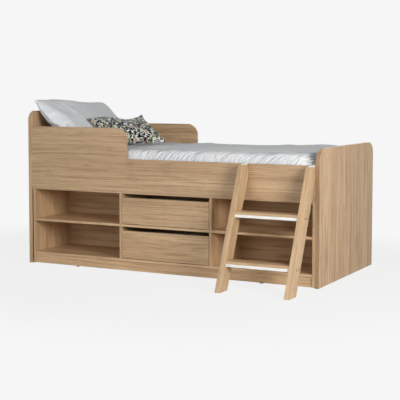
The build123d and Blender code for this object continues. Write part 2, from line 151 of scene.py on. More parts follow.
for name, lamp in lamps.items():
    aim = Vector(lamp_aim) - Vector(lamp["place"])
    turn = aim.to_track_quat("-Z", "Y").to_euler()
    bpy.ops.object.light_add(type="AREA", location=lamp["place"], rotation=turn)
    made = bpy.context.object
    made.name = name
    made.data.size = lamp["size"]
    made.data.energy = lamp["power"]
    made.data.color = lamp["tint"]

# End panels: thick chipboard under oak-effect foil, with the grain upright and a slightly
# darker edging strip ironed round their edges. They stand on the floor and carry the rails.
oak_pale = paint(202, 171, 134)
oak_mid = paint(184, 153, 118)
oak_brown = paint(150, 119, 87)
oak_line = paint(112, 85, 59)
oak_edging = paint(140, 115, 86)
edging_share = 0.7
edge_facing = (0.6, 0.8)
oak_stretch = {"sway": (1.8, 4, 4), "broad": (0.8, 12, 12), "figure": (0.5, 5, 5), "patch": (1.5, 14, 14),
               "dash": (9, 210, 210), "fibre": (9, 420, 420), "pore": (26, 950, 950)}
oak_streak = (3.2, 105)
oak_share = {"ring": 0.2, "dash": 0.5, "fibre": 0.16, "pore": 0.3}
oak_sway = 0.022
oak_rings = 120.0
oak_pore_depth = 0.0004


def weighted(tree, first, weight, offset=0.0):
    """A value times a weight, plus an offset."""
    return step(tree, "Math", {0: first, 1: weight, 2: offset}, operation="MULTIPLY_ADD").outputs[0]


def blended(tree, share, under, over, blend_type="MIX"):
    """One colour over another."""
    made = step(tree, "Mix", {0: share, 6: under, 7: over}, data_type="RGBA", blend_type=blend_type)
    return made.outputs[2]


def between(tree, value, low, high):
    """0 below the low value, 1 above the high one and a smooth rise between them."""
    spans = {0: value, 1: low, 2: high, 3: 0.0, 4: 1.0}
    return step(tree, "MapRange", spans, interpolation_type="SMOOTHSTEP").outputs[0]


def noise(tree, place, stretch, detail=2.0, roughness=0.5):
    """A noise drawn out by a stretch of so many repeats to the metre on each axis."""
    drawn = step(tree, "VectorMath", {0: place, 1: stretch}, operation="MULTIPLY")
    inputs = {"Vector": drawn.outputs[0], "Scale": 1.0, "Detail": detail, "Roughness": roughness}
    return step(tree, "TexNoise", inputs).outputs[0]


def new_finish(name, roughness, specular=0.5):
    """An empty finish with its shader, and the place on the piece that its pattern reads."""
    finish = bpy.data.materials.new(name)
    finish.use_nodes = True
    tree = finish.node_tree
    shader = tree.nodes["Principled BSDF"]
    shader.inputs["Roughness"].default_value = roughness
    shader.inputs["Specular IOR Level"].default_value = specular
    return finish, tree, shader, step(tree, "TexCoord").outputs


def raised(tree, shader, height, distance, under=None):
    """Gives the finish a relief of this height in metres."""
    inputs = {"Height": height, "Distance": distance, "Strength": 1.0}
    if under is not None:
        inputs["Normal"] = under
    relief = step(tree, "Bump", inputs).outputs[0]
    tree.links.new(relief, shader.inputs["Normal"])
    return relief


def oak_laminate(name, grain_turn, start, tone_and_painted_light=1.0, edging_axis=None, figured=1.0, width=1.0, length=1.0,
                 edged=edging_share):
    """Oak-effect foil. Turned by grain_turn, in degrees, its grain lies along X, and start shifts the
    figure. The streaks are so many times as wide and long, and edging covers the faces on one axis.
    The tone multiplies the whole colour. Besides the board's own tone it carries painted light,
    making a piece lighter or darker by how much light falls on it."""
    finish, tree, shader, place = new_finish(name, 0.46, 0.4)
    turned = {"Vector": place["Object"], "Location": start, "Rotation": [math.radians(a) for a in grain_turn]}
    grain = step(tree, "Mapping", turned).outputs[0]
    sway = noise(tree, grain, oak_stretch["sway"], 2)
    swayed = step(tree, "CombineXYZ", {1: weighted(tree, sway, oak_sway), 2: weighted(tree, sway, oak_sway)})
    grain = step(tree, "VectorMath", {0: grain, 1: swayed.outputs[0]}, operation="ADD").outputs[0]
    broad = noise(tree, grain, oak_stretch["broad"], 2)
    figure = noise(tree, grain, oak_stretch["figure"], 1.2, 0.35)
    streak_along, streak_across = oak_streak[0] / length, oak_streak[1] / width
    streak = noise(tree, grain, (streak_along, streak_across, streak_across), 5, 0.72)
    dash = noise(tree, grain, oak_stretch["dash"], 2, 0.5)
    fibre = noise(tree, grain, oak_stretch["fibre"], 2, 0.6)
    pore = between(tree, noise(tree, grain, oak_stretch["pore"], 1), 0.6, 0.72)
    ring = step(tree, "Math", {0: weighted(tree, figure, oak_rings)}, operation="SINE").outputs[0]
    ring = between(tree, ring, 0.45, 1.0)
    patchy = between(tree, noise(tree, grain, oak_stretch["patch"], 2), 0.5, 0.66)
    ring = step(tree, "Math", {0: ring, 1: patchy}, operation="MULTIPLY").outputs[0]
    dashed = between(tree, dash, 0.56, 0.76)
    colour = blended(tree, between(tree, broad, 0.3, 0.7), oak_pale, oak_mid)
    colour = blended(tree, weighted(tree, between(tree, streak, 0.42, 0.72), figured), colour, oak_brown)
    colour = blended(tree, weighted(tree, ring, oak_share["ring"] * figured), colour, oak_line)
    colour = blended(tree, weighted(tree, dashed, oak_share["dash"] * figured), colour, oak_line)
    colour = blended(tree, weighted(tree, fibre, oak_share["fibre"]), colour, oak_brown)
    colour = blended(tree, weighted(tree, pore, oak_share["pore"]), colour, oak_line)
    if edging_axis is not None:
        facing = step(tree, "SeparateXYZ", {0: place["Normal"]}).outputs[edging_axis]
        facing = step(tree, "Math", {0: facing}, operation="ABSOLUTE").outputs[0]
        colour = blended(tree, weighted(tree, between(tree, facing, *edge_facing), edged), colour, oak_edging)
    colour = blended(tree, 1.0, colour, (tone_and_painted_light, tone_and_painted_light, tone_and_painted_light, 1), "MULTIPLY")
    tree.links.new(colour, shader.inputs["Base Color"])
    tree.links.new(weighted(tree, streak, 0.14, 0.40), shader.inputs["Roughness"])
    raised(tree, shader, weighted(tree, pore, -0.6, 0.8), oak_pore_depth)
    return finish


def finished(material, *names):
    """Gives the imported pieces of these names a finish."""
    for name in names:
        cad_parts[name].material_slots[0].material = material


upright = (0, 90, 0)
# The head panel's foil is toned lighter and given less of the darker edging: painted light for the extra light
# that falls on it.
finished(oak_laminate("oak_head_panel", upright, (0.3, 0.1, 2.0), 1.17, 1, width=2.0, length=2.0, edged=0.25),
         "head_end_panel")
finished(oak_laminate("oak_foot_panel", upright, (1.7, 0.4, 0.6), 1.08, 1, 1.25, width=1.6, length=1.6),
         "foot_end_panel")

# Side rails and guard boards: thinner board with the same foil, grain lengthwise. Each guard is
# its own board, dowelled on top of its rail, so the figure breaks at the joint.
lengthwise = (0, 0, 0)
finished(oak_laminate("oak_front_rail", lengthwise, (0.2, 0.0, 0.35), 0.99, length=2.2), "front_rail")
finished(oak_laminate("oak_back_rail", lengthwise, (3.1, 0.0, 1.2)), "back_rail")
finished(oak_laminate("oak_front_guard", lengthwise, (5.2, 0.3, 0.9), 0.94, length=2.2), "front_guard")
# The back guard's foil is toned lighter: painted light for the light that reaches the inner face of the far
# guard.
finished(oak_laminate("oak_back_guard", lengthwise, (7.4, 0.2, 0.1), 1.15), "back_guard")

# Fixing covers: moulded plastic caps, a shade darker than the foil, pressed over the screws that
# hold the rails and guards.
cover_colour = paint(160, 146, 124)
cover_roughness = 0.32
plastic_dust = paint(60, 56, 50)
skin_pitch = (900, 900, 900)
skin_depth = 0.0001


def plain_plastic(name, colour, roughness, mottle=0.06):
    """Moulded plastic with a faint skin texture and an uneven gloss."""
    finish, tree, shader, place = new_finish(name, roughness)
    cloud = noise(tree, place["Object"], (60, 60, 60), 3)
    colour_out = blended(tree, weighted(tree, cloud, mottle), colour, plastic_dust)
    tree.links.new(colour_out, shader.inputs["Base Color"])
    tree.links.new(weighted(tree, cloud, 0.16, roughness - 0.08), shader.inputs["Roughness"])
    raised(tree, shader, noise(tree, place["Object"], skin_pitch, 2), skin_depth)
    return finish


finished(plain_plastic("cover_plastic", cover_colour, cover_roughness),
         "front_screw_covers", "head_screw_covers", "foot_screw_covers")

# Slatted base: planed pine ledges screwed inside the rails, and planed pine slats that lie loose
# across them, under the mattress.
pine_pale = paint(226, 200, 158)
pine_dark = paint(198, 160, 112)
pine_knot = paint(140, 92, 56)
pine_rings = 70.0
knot_spacing = 5.0
knot_edge = (0.03, 0.08)
pine_fibre = (20, 600, 600)
pine_relief = 0.0003


def planed_pine(name, grain_turn):
    """Pine with soft late-wood lines and a few small knots."""
    finish, tree, shader, place = new_finish(name, 0.62, 0.3)
    turned = {"Vector": place["Object"], "Rotation": [math.radians(a) for a in grain_turn]}
    grain = step(tree, "Mapping", turned).outputs[0]
    figure = noise(tree, grain, (1.2, 14, 14), 1.5)
    line = step(tree, "Math", {0: weighted(tree, figure, pine_rings)}, operation="SINE").outputs[0]
    spots = {"Vector": grain, "Scale": knot_spacing, "Randomness": 1.0}
    knot = step(tree, "TexVoronoi", spots).outputs["Distance"]
    colour = blended(tree, between(tree, line, -0.4, 1.0), pine_pale, pine_dark)
    knot_share = step(tree, "Math", {0: 1.0, 1: between(tree, knot, *knot_edge)}, operation="SUBTRACT")
    colour = blended(tree, knot_share.outputs[0], colour, pine_knot)
    tree.links.new(colour, shader.inputs["Base Color"])
    raised(tree, shader, noise(tree, grain, pine_fibre, 2), pine_relief)
    return finish


crosswise = (0, 0, 90)
finished(planed_pine("pine_ledge", lengthwise), "front_slat_ledge", "back_slat_ledge")
finished(planed_pine("pine_slat", crosswise), "slats")

# Storage unit: sides and dividers with upright grain, and base, middle board, shelves and
# plinths with the grain lengthwise, all of the same foil on board.
# The foil here is toned lighter than the bed's: painted light for the light that falls into the bays and on the
# plinths. The edging share keeps the front edges darker.
upright_edged = 0.34
shelf_edged = 0.2
finished(oak_laminate("oak_side", upright, (2.2, 1.3, 0.4), 1.25, 1, edged=upright_edged),
         "storage_side_head", "storage_side_foot")
finished(oak_laminate("oak_divider", upright, (4.0, 2.0, 1.4), 1.25, 1, edged=upright_edged),
         "divider_head", "divider_foot")
finished(oak_laminate("oak_shelf", lengthwise, (6.0, 1.0, 2.2), 1.3, 1, edged=shelf_edged),
         "shelf_head", "shelf_foot", "drawer_middle_board")
finished(oak_laminate("oak_base", lengthwise, (1.0, 3.0, 4.2), 1.3, 1, edged=shelf_edged),
         "storage_base_board", "storage_top_board")
finished(oak_laminate("oak_plinth", lengthwise, (2.9, 0.0, 5.0), 1.2), "front_plinth", "back_plinth")

# Back panel and drawer bases: thin hardboard, printed oak colour on its front and bare brown
# behind. The panel closes the unit at the back, and the bases sit in grooves in the drawers.
board_print = paint(182, 151, 117)
board_bare = paint(118, 86, 60)
board_speck = (260, 260, 260)
board_streak = (2, 40, 40)
board_relief = 0.0002


def hardboard(name):
    """Hardboard with a printed front and fuzzy bare back."""
    finish, tree, shader, place = new_finish(name, 0.7, 0.25)
    facing = step(tree, "SeparateXYZ", {0: place["Normal"]}).outputs[1]
    speck = noise(tree, place["Object"], board_speck, 4, 0.7)
    streak = noise(tree, place["Object"], board_streak, 4, 0.6)
    front = blended(tree, between(tree, streak, 0.4, 0.7), board_print, oak_brown)
    back = blended(tree, between(tree, speck, 0.35, 0.7), board_bare, board_print)
    colour = blended(tree, between(tree, facing, -0.1, 0.1), front, back)
    tree.links.new(colour, shader.inputs["Base Color"])
    raised(tree, shader, speck, board_relief)
    return finish


finished(hardboard("hardboard"), "storage_back_panel", "upper_drawer_base", "lower_drawer_base")

# Glides and shelf pins: dark plastic feet knocked into the plinths, and turned zinc-plated steel
# pins pushed into the unit's sides and dividers.
glide_colour = paint(46, 40, 36)
glide_roughness = 0.5
zinc = paint(176, 174, 168)
zinc_dull = paint(130, 128, 124)
turning_pitch = (200, 2500, 2500)
turning_depth = 0.00005


def plated_steel(name, colour, roughness=0.34):
    """Zinc-plated steel with fine turning marks."""
    finish, tree, shader, place = new_finish(name, roughness)
    shader.inputs["Metallic"].default_value = 1.0
    cloud = noise(tree, place["Object"], (120, 120, 120), 3)
    colour_out = blended(tree, weighted(tree, cloud, 0.25), colour, zinc_dull)
    tree.links.new(colour_out, shader.inputs["Base Color"])
    tree.links.new(weighted(tree, cloud, 0.2, roughness - 0.1), shader.inputs["Roughness"])
    raised(tree, shader, noise(tree, place["Object"], turning_pitch, 2), turning_depth)
    return finish


finished(plain_plastic("glide_plastic", glide_colour, glide_roughness), "storage_glides")
finished(plated_steel("zinc_steel", zinc), "shelf_pins")

# Drawers: fronts of the same foil on board, with the grain lengthwise, on boxes of thin board
# wrapped in pale foil. A gap above each front takes the fingers.
drawer_foil = paint(222, 214, 200)
drawer_foil_dark = paint(198, 190, 176)
thread_pitch = (40, 900)
thread_depth = 0.0001


def pale_foil(name):
    """Pale linen-print foil of the drawer boxes."""
    finish, tree, shader, place = new_finish(name, 0.5, 0.4)
    thread = noise(tree, place["Object"], (thread_pitch[0], thread_pitch[0], thread_pitch[1]), 3)
    cross = noise(tree, place["Object"], (thread_pitch[1], thread_pitch[1], thread_pitch[0]), 3)
    mesh = step(tree, "Math", {0: thread, 1: cross}, operation="MULTIPLY").outputs[0]
    colour = blended(tree, between(tree, mesh, 0.15, 0.4), drawer_foil, drawer_foil_dark)
    tree.links.new(colour, shader.inputs["Base Color"])
    raised(tree, shader, mesh, thread_depth)
    return finish


box_foil = pale_foil("drawer_foil")
# Each front's foil is toned to how lit it is: painted light, with the lower front a little lighter than the
# upper.
for drawer, start, tone_and_painted_light in (("upper", (0.4, 0.0, 7.3), 1.05), ("lower", (3.3, 0.0, 9.1), 1.1)):
    finished(oak_laminate("oak_drawer_" + drawer, lengthwise, start, tone_and_painted_light, figured=1.1, length=2.0),
             drawer + "_drawer_front")
    finished(box_foil, *[f"{drawer}_drawer_{part}" for part in ("side_head", "side_foot", "back")])

# Drawer runners: strip steel bent to an angle and powder coated cream, with white nylon rollers
# on riveted pins, two at the front of the unit and two at the back of the drawer.
runner_cream = paint(226, 222, 208)
roller_white = paint(236, 236, 230)
runner_coat = plain_plastic("runner_coat", runner_cream, roughness=0.36, mottle=0.04)
roller_nylon = plain_plastic("roller_nylon", roller_white, roughness=0.24, mottle=0.03)
for drawer in ("upper", "lower"):
    finished(runner_coat, drawer + "_fixed_runners", drawer + "_drawer_runners")
    finished(roller_nylon, drawer + "_front_rollers", drawer + "_rear_rollers")

# Ladder: two thick stiles with the foil's grain along them, and two treads with the grain
# across, each bolted through the stiles from outside with plated steel bolts.
stile_lean = 23.8
stile_grain = (stile_lean, 90, 0)
ladder_look = {"tone_and_painted_light": 1.04, "figured": 0.7}
bolt_grey = paint(150, 140, 128)
bolt_roughness = 0.4
finished(oak_laminate("oak_stile_head", stile_grain, (1.2, 0.7, 11.0), **ladder_look), "ladder_stile_head")
finished(oak_laminate("oak_stile_foot", stile_grain, (3.9, 2.7, 13.0), **ladder_look), "ladder_stile_foot")
finished(oak_laminate("oak_treads", lengthwise, (8.8, 0.5, 2.0), **ladder_look), "lower_tread", "upper_tread")
finished(plated_steel("bolt_steel", bolt_grey, bolt_roughness), "tread_bolts")

# Tread nosings and hooks: a ribbed white plastic strip along the front of each tread, and white
# coated brackets that drop over the rail.
nosing_white = paint(255, 254, 250)
hook_white = paint(240, 240, 238)
rib_pitch = 0.0028
rib_depth = 0.0004
grime_colour = paint(170, 160, 145)
grime_share = 0.02


def ribbed_plastic(name, colour):
    """White plastic with fine ribs along its length."""
    finish, tree, shader, place = new_finish(name, 0.42)
    height = step(tree, "SeparateXYZ", {0: place["Object"]}).outputs[2]
    rib = step(tree, "Math", {0: weighted(tree, height, math.tau / rib_pitch)}, operation="SINE").outputs[0]
    grime = noise(tree, place["Object"], (30, 200, 200), 3)
    colour_out = blended(tree, weighted(tree, grime, grime_share), colour, grime_colour)
    tree.links.new(colour_out, shader.inputs["Base Color"])
    raised(tree, shader, rib, rib_depth)
    return finish


finished(ribbed_plastic("nosing_plastic", nosing_white), "lower_tread_nosing", "upper_tread_nosing")
finished(plain_plastic("hook_coat", hook_white, roughness=0.32, mottle=0.03), "ladder_hooks")

# Mattress: a foam core in white ticking, with a cord of the same cloth sewn round its top and
# bottom edges. It lies loose on the slats, between the rails.
ticking_white = paint(226, 226, 224)
ticking_shadow = paint(214, 214, 212)
mattress_cell = 0.016
mattress_pressure = 1.5
mattress_frames = 12
mattress_most_moved = 0.006
mattress_give = 0.0015
mattress_corner = 0.030
mattress_roll = 0.020
piping_radius = 0.005
piping_inset = 0.005
piping_drop = 0.007
cloth_feel = {"quality": 5, "mass": 0.15, "tension_stiffness": 20, "compression_stiffness": 20,
              "shear_stiffness": 8, "bending_stiffness": 0.5}
cotton_sheen = {"Sheen Weight": 0.25, "Sheen Roughness": 0.5}
weave_pitch = 260.0
weave_depth = 0.00012


def flat_start(name):
    """Names the piece just added and returns it."""
    piece = bpy.context.object
    piece.name = name
    piece.data.name = name
    return piece


def added_block(name, low, high):
    """A block between two corners, ready to be shaped in edit mode."""
    bpy.ops.object.select_all(action="DESELECT")
    middle = (Vector(low) + Vector(high)) / 2
    bpy.ops.mesh.primitive_cube_add(size=1, location=middle, scale=Vector(high) - Vector(low))
    bpy.ops.object.transform_apply(location=True, rotation=True, scale=True)
    return flat_start(name)


def picked(piece, kind, test):
    """Goes into edit mode with just the vertices, edges or faces that pass the test selected."""
    bpy.ops.object.mode_set(mode="EDIT")
    bpy.ops.mesh.select_mode(type=kind)
    bpy.ops.mesh.select_all(action="DESELECT")
    bpy.ops.object.mode_set(mode="OBJECT")
    points = piece.data.vertices
    if kind == "VERT":
        for point in points:
            point.select = test(point.co)
    elif kind == "EDGE":
        for edge in piece.data.edges:
            edge.select = test(*[points[i].co for i in edge.vertices])
    else:
        for face in piece.data.polygons:
            face.select = test(face)
    bpy.ops.object.mode_set(mode="EDIT")


def add_modifier(piece, kind, **settings):
    """Adds a modifier and applies it at once."""
    made = piece.modifiers.new(kind.lower(), kind)
    for name, value in settings.items():
        setattr(made, name, value)
    bpy.context.view_layer.objects.active = piece
    bpy.ops.object.modifier_apply(modifier=made.name)


def filled(piece, pressure, spare, most_moved, frames=20):
    """Lets pressure fill the sewn cover, with a share of spare cloth that shows as wrinkles."""
    start = [point.co.copy() for point in piece.data.vertices]
    cloth = piece.modifiers.new("cloth", "CLOTH")
    cloth.point_cache.frame_start = 1
    cloth.point_cache.frame_end = frames
    for name, value in cloth_feel.items():
        setattr(cloth.settings, name, value)
    cloth.settings.use_pressure = True
    cloth.settings.uniform_pressure_force = pressure
    cloth.settings.shrink_min = -spare
    cloth.settings.effector_weights.gravity = 0
    cloth.collision_settings.use_collision = False
    for number in range(1, frames + 1):
        bpy.context.scene.frame_set(number)
    bpy.context.view_layer.objects.active = piece
    bpy.ops.object.modifier_apply(modifier=cloth.name)
    bpy.context.scene.frame_set(1)
    for point, place in zip(piece.data.vertices, start):
        moved = point.co - place
        if moved.length > most_moved:
            point.co = place + moved * (most_moved / moved.length)


def cotton(name, colour, shadow_colour, crease_depth, crease_stretch):
    """Washed cotton: a fine weave, soft creases, and a little unevenness in its colour, mixed in soft blotches
    toward a bluer shadow colour that is painted shade.
    """
    finish, tree, shader, place = new_finish(name, 0.85, 0.2)
    for name, value in cotton_sheen.items():
        shader.inputs[name].default_value = value
    cloud = noise(tree, place["Object"], (5, 5, 5), 3)
    colour_out = blended(tree, between(tree, cloud, 0.3, 0.75), colour, shadow_colour)
    tree.links.new(colour_out, shader.inputs["Base Color"])
    crease = noise(tree, place["Object"], crease_stretch, 4, 0.55)
    relief = raised(tree, shader, crease, crease_depth)
    bands = {"Vector": place["Object"], "Scale": weave_pitch, "Distortion": 0.4}
    weave = [step(tree, "TexWave", bands, bands_direction=way).outputs["Fac"] for way in ("X", "Y", "Z")]
    cross = step(tree, "Math", {0: weave[0], 1: weave[1]}, operation="MAXIMUM").outputs[0]
    cross = step(tree, "Math", {0: cross, 1: weave[2]}, operation="MAXIMUM").outputs[0]
    raised(tree, shader, cross, weave_depth, relief)
    return finish


low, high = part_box("mattress")
low += Vector((mattress_give, mattress_give, 0))
high -= Vector((mattress_give, mattress_give, 0))
mattress_cover = added_block("mattress_cover", low, high)
picked(mattress_cover, "EDGE", lambda a, b: abs(a.z - b.z) > abs(high.z - low.z) / 2)
bpy.ops.mesh.bevel(offset=mattress_corner, segments=5)
bpy.ops.object.mode_set(mode="OBJECT")
picked(mattress_cover, "EDGE", lambda a, b: abs(a.z - b.z) < mattress_roll / 10)
bpy.ops.mesh.bevel(offset=mattress_roll, segments=4)
bpy.ops.object.mode_set(mode="OBJECT")
add_modifier(mattress_cover, "REMESH", mode="VOXEL", voxel_size=mattress_cell)
filled(mattress_cover, mattress_pressure, 0.0, mattress_most_moved, mattress_frames)
bpy.ops.object.shade_smooth()
mattress_cover.data.materials.append(cotton("ticking", ticking_white, ticking_shadow, 0.004, (16, 16, 16)))


def piping(name, low, high, corner, radius):
    """A round cord sewn round a rounded rectangle between two corners that lie at one height."""
    bpy.ops.object.select_all(action="DESELECT")
    bpy.ops.mesh.primitive_plane_add(size=1, location=(Vector(low) + Vector(high)) / 2)
    cord = flat_start(name)
    bpy.ops.transform.resize(value=(high[0] - low[0], high[1] - low[1], 1))
    bpy.ops.object.transform_apply(location=True, rotation=True, scale=True)
    bpy.ops.object.mode_set(mode="EDIT")
    bpy.ops.mesh.select_all(action="SELECT")
    bpy.ops.mesh.bevel(offset=corner, segments=6, affect="VERTICES")
    bpy.ops.mesh.delete(type="ONLY_FACE")
    bpy.ops.object.mode_set(mode="OBJECT")
    bpy.ops.object.convert(target="CURVE")
    cord.data.bevel_depth = radius
    cord.data.bevel_resolution = 2
    bpy.ops.object.convert(target="MESH")
    bpy.ops.object.shade_smooth()
    return cord


for level, height in (("upper", high.z - piping_drop), ("lower", low.z + piping_drop)):
    cord = piping("mattress_piping_" + level, (low.x + piping_inset, low.y + piping_inset, height),
                  (high.x - piping_inset, high.y - piping_inset, height), mattress_corner, piping_radius)
    cord.data.materials.append(mattress_cover.data.materials[0])
    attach(cord, "mattress")

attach(mattress_cover, "mattress")
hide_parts("mattress")

# Quilt: a filled white cotton cover laid over the mattress, its front edge rolled down and tucked
# between mattress and rail, where the cloth is drawn into fine curved creases.
quilt_white = paint(229, 230, 231)
quilt_shadow = paint(215, 218, 223)
quilt_cell = 0.009
quilt_pressure = 3.0
quilt_spare = 0.045
quilt_most_moved = 0.010
quilt_sink = 0.008
quilt_front_roll = 0.045
quilt_skin = 0.0006
quilt_wave_length = 0.16
quilt_wave_height = 0.016
crease_reach = 0.24
crease_fan = (0.5, 2.6)
crease_sway = 0.11
crease_sway_pitch = 2.2
crease_pitch = (44.0, 5.0)
crease_depth = 0.015
crease_fade = 1.4
crease_underside = -0.3
ridge_pitch = (70, 9.0, 1)
ridge_depth = 0.014
quilt_corner_pull = (0, 0.022, -0.026)
quilt_corner_reach = 0.11
quilt_rise = {"spot": (0.66, 0.55, 0.75), "move": (0.0, 0.0, 0.013), "reach": 0.40}
quilt_room = 0.0008
quilt_over_rail = 0.004

low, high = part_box("quilt")
high.z -= quilt_sink
mattress_low, mattress_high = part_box("mattress")
quilt_under = mattress_high.z + quilt_skin
quilt_cover = added_block("quilt_cover", (low.x, low.y, quilt_under), high)
picked(quilt_cover, "FACE", lambda face: face.normal.z < -0.5)
bpy.ops.mesh.bisect(plane_co=(0, mattress_low.y, 0), plane_no=(0, 1, 0))
bpy.ops.object.mode_set(mode="OBJECT")
picked(quilt_cover, "FACE", lambda face: face.normal.z < -0.5 and face.center.y < mattress_low.y)
bpy.ops.mesh.extrude_region_move(TRANSFORM_OT_translate={"value": (0, 0, low.z - quilt_under)})
bpy.ops.object.mode_set(mode="OBJECT")
picked(quilt_cover, "EDGE", lambda a, b: (
    min(a.z, b.z) > high.z - quilt_skin and max(a.y, b.y) < low.y + quilt_skin))
bpy.ops.mesh.bevel(offset=quilt_front_roll, segments=6)
bpy.ops.object.mode_set(mode="OBJECT")
add_modifier(quilt_cover, "REMESH", mode="VOXEL", voxel_size=quilt_cell)
picked(quilt_cover, "VERT", lambda place: place.z > quilt_under + (high.z - quilt_under) / 3)
bpy.ops.object.vertex_group_add()
bpy.ops.object.vertex_group_assign()
bpy.ops.object.mode_set(mode="OBJECT")
waves = bpy.data.textures.new("quilt_waves", "CLOUDS")
waves.noise_scale = quilt_wave_length
waves.noise_depth = 2
add_modifier(quilt_cover, "DISPLACE", texture=waves, texture_coords="LOCAL", direction="Z",
             strength=quilt_wave_height, mid_level=0.5, vertex_group=quilt_cover.vertex_groups[0].name)
filled(quilt_cover, quilt_pressure, quilt_spare, quilt_most_moved)


def pulled(piece, test, move, reach):
    """Pulls the picked vertices, and the cloth round them within the reach, to one side."""
    picked(piece, "VERT", test)
    bpy.ops.transform.translate(value=move, use_proportional_edit=True, proportional_edit_falloff="SMOOTH",
                                proportional_size=reach)
    bpy.ops.object.mode_set(mode="OBJECT")


def nearest(piece, spot):
    """A test that only the vertex nearest to the spot passes."""
    places = [point.co.copy() for point in piece.data.vertices]
    found = min(places, key=lambda place: (place - Vector(spot)).length)
    return lambda place: (place - found).length < 1e-6


def creased(piece, depth_at):
    """Draws the cloth in, at each vertex, by the depth that its creases have there."""
    moves = [-point.normal * depth_at(point.co, point.normal) for point in piece.data.vertices]
    for point, move in zip(piece.data.vertices, moves):
        point.co += move


def tucked_creases(place, normal):
    """Creases that fan out from the tucked front edge and die out on the quilt's top."""
    depth = place.y + place.z - front_foot
    if depth > crease_reach or normal.z < crease_underside:
        return 0
    sway = mathutils.noise.noise(place * crease_sway_pitch) * crease_sway
    across = place.x - depth * (crease_fan[0] + crease_fan[1] * depth) + sway
    wave = mathutils.noise.fractal(Vector((across * crease_pitch[0], depth * crease_pitch[1], 0)), 0.8, 2.0, 2)
    return abs(wave) * crease_depth * min(1.0, (1 - depth / crease_reach) * crease_fade)


front_foot = low.y + quilt_under - quilt_front_roll
places = [point.co.copy() for point in quilt_cover.data.vertices]
corner = max(places, key=lambda place: place.x + place.z - place.y)
pulled(quilt_cover, lambda place: (place - corner).length < quilt_cell, quilt_corner_pull, quilt_corner_reach)
pulled(quilt_cover, nearest(quilt_cover, quilt_rise["spot"]), quilt_rise["move"], quilt_rise["reach"])
picked(quilt_cover, "FACE", lambda face: (
    face.normal.z > crease_underside and face.center.y + face.center.z - front_foot < crease_reach))
bpy.ops.mesh.subdivide(number_cuts=1, smoothness=0)
bpy.ops.object.mode_set(mode="OBJECT")
creased(quilt_cover, tucked_creases)
rail_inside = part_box("front_rail")[1]
back_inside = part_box("back_rail")[0]
guard_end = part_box("front_guard")[1]
foot_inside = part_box("foot_end_panel")[0]
for point in quilt_cover.data.vertices:
    point.co.x = min(point.co.x, foot_inside.x - quilt_room)
    if point.co.z < rail_inside.z + quilt_over_rail or point.co.x < guard_end.x + quilt_over_rail:
        point.co.y = min(max(point.co.y, rail_inside.y + quilt_room), back_inside.y - quilt_room)
bpy.ops.object.shade_smooth()

quilt_finish = cotton("quilt_cotton", quilt_white, quilt_shadow, 0.005, (8, 14, 12))
tree = quilt_finish.node_tree
shader = tree.nodes["Principled BSDF"]
axes = step(tree, "SeparateXYZ", {0: step(tree, "TexCoord").outputs["Object"]}).outputs
depth = step(tree, "Math", {0: axes[1], 1: axes[2]}, operation="ADD").outputs[0]
depth = step(tree, "Math", {0: depth, 1: front_foot}, operation="SUBTRACT").outputs[0]
fan_slope = weighted(tree, depth, -crease_fan[1], -crease_fan[0])
bend = step(tree, "Math", {0: fan_slope, 1: depth}, operation="MULTIPLY")
swing = noise(tree, step(tree, "TexCoord").outputs["Object"], [crease_sway_pitch] * 3, 1)
across = step(tree, "Math", {0: axes[0], 1: bend.outputs[0]}, operation="ADD").outputs[0]
across = step(tree, "Math", {0: across, 1: weighted(tree, swing, crease_sway * 2)}, operation="ADD").outputs[0]
fan = step(tree, "CombineXYZ", {0: across, 1: depth}).outputs[0]
wide = step(tree, "Math", {0: noise(tree, fan, ridge_pitch, 3, 0.5), 1: 0.5}, operation="SUBTRACT").outputs[0]
ridge = step(tree, "Math", {0: wide}, operation="ABSOLUTE").outputs[0]
away = between(tree, depth, crease_reach / 3, crease_reach)
near_edge = step(tree, "Math", {0: 1.0, 1: away}, operation="SUBTRACT")
ridge_share = weighted(tree, near_edge.outputs[0], -0.85, -0.15)
ridge = step(tree, "Math", {0: ridge, 1: ridge_share}, operation="MULTIPLY")
raised(tree, shader, ridge.outputs[0], ridge_depth, shader.inputs["Normal"].links[0].from_socket)
quilt_cover.data.materials.append(quilt_finish)
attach(quilt_cover, "quilt")
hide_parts("quilt")

# Pillow: a plain white cotton case, filled soft, leaning back on the head panel with its near
# top corner standing up.
pillow_white = paint(236, 237, 239)
pillow_shadow = paint(223, 226, 229)
pillow_case = {"length": 0.700, "width": 0.460, "cell": 0.007, "bow": (0.07, 0.04)}
pillow_pressure = 3.0
pillow_spare = 0.05
pillow_size = (0.457, 0.698, 0.135)
pillow_lean = 39
pillow_turn = 4
pillow_corner_pull = (-0.014, -0.002, 0.022)
pillow_corner_reach = 0.30
pillow_pulls = (
    {"spot": (-0.87, -0.20, 0.90), "move": (-0.022, -0.016, -0.003), "reach": 0.20},
    {"spot": (-0.70, 0.37, 0.92), "move": (-0.012, -0.014, -0.006), "reach": 0.18},
    {"spot": (-0.93, -0.04, 1.02), "move": (0.0, 0.0, 0.017), "reach": 0.20},
)
pillow_room = 0.001
pillow_fold_turn = math.radians(35)
pillow_fold_pitch = (17.0, 4.0)
pillow_fold_depth = 0.002
pillow_fold_slope = 0.8
pillow_fold_sway = (5.0, 0.06)
case_most_moved = 1.0
seam_height = 0.004


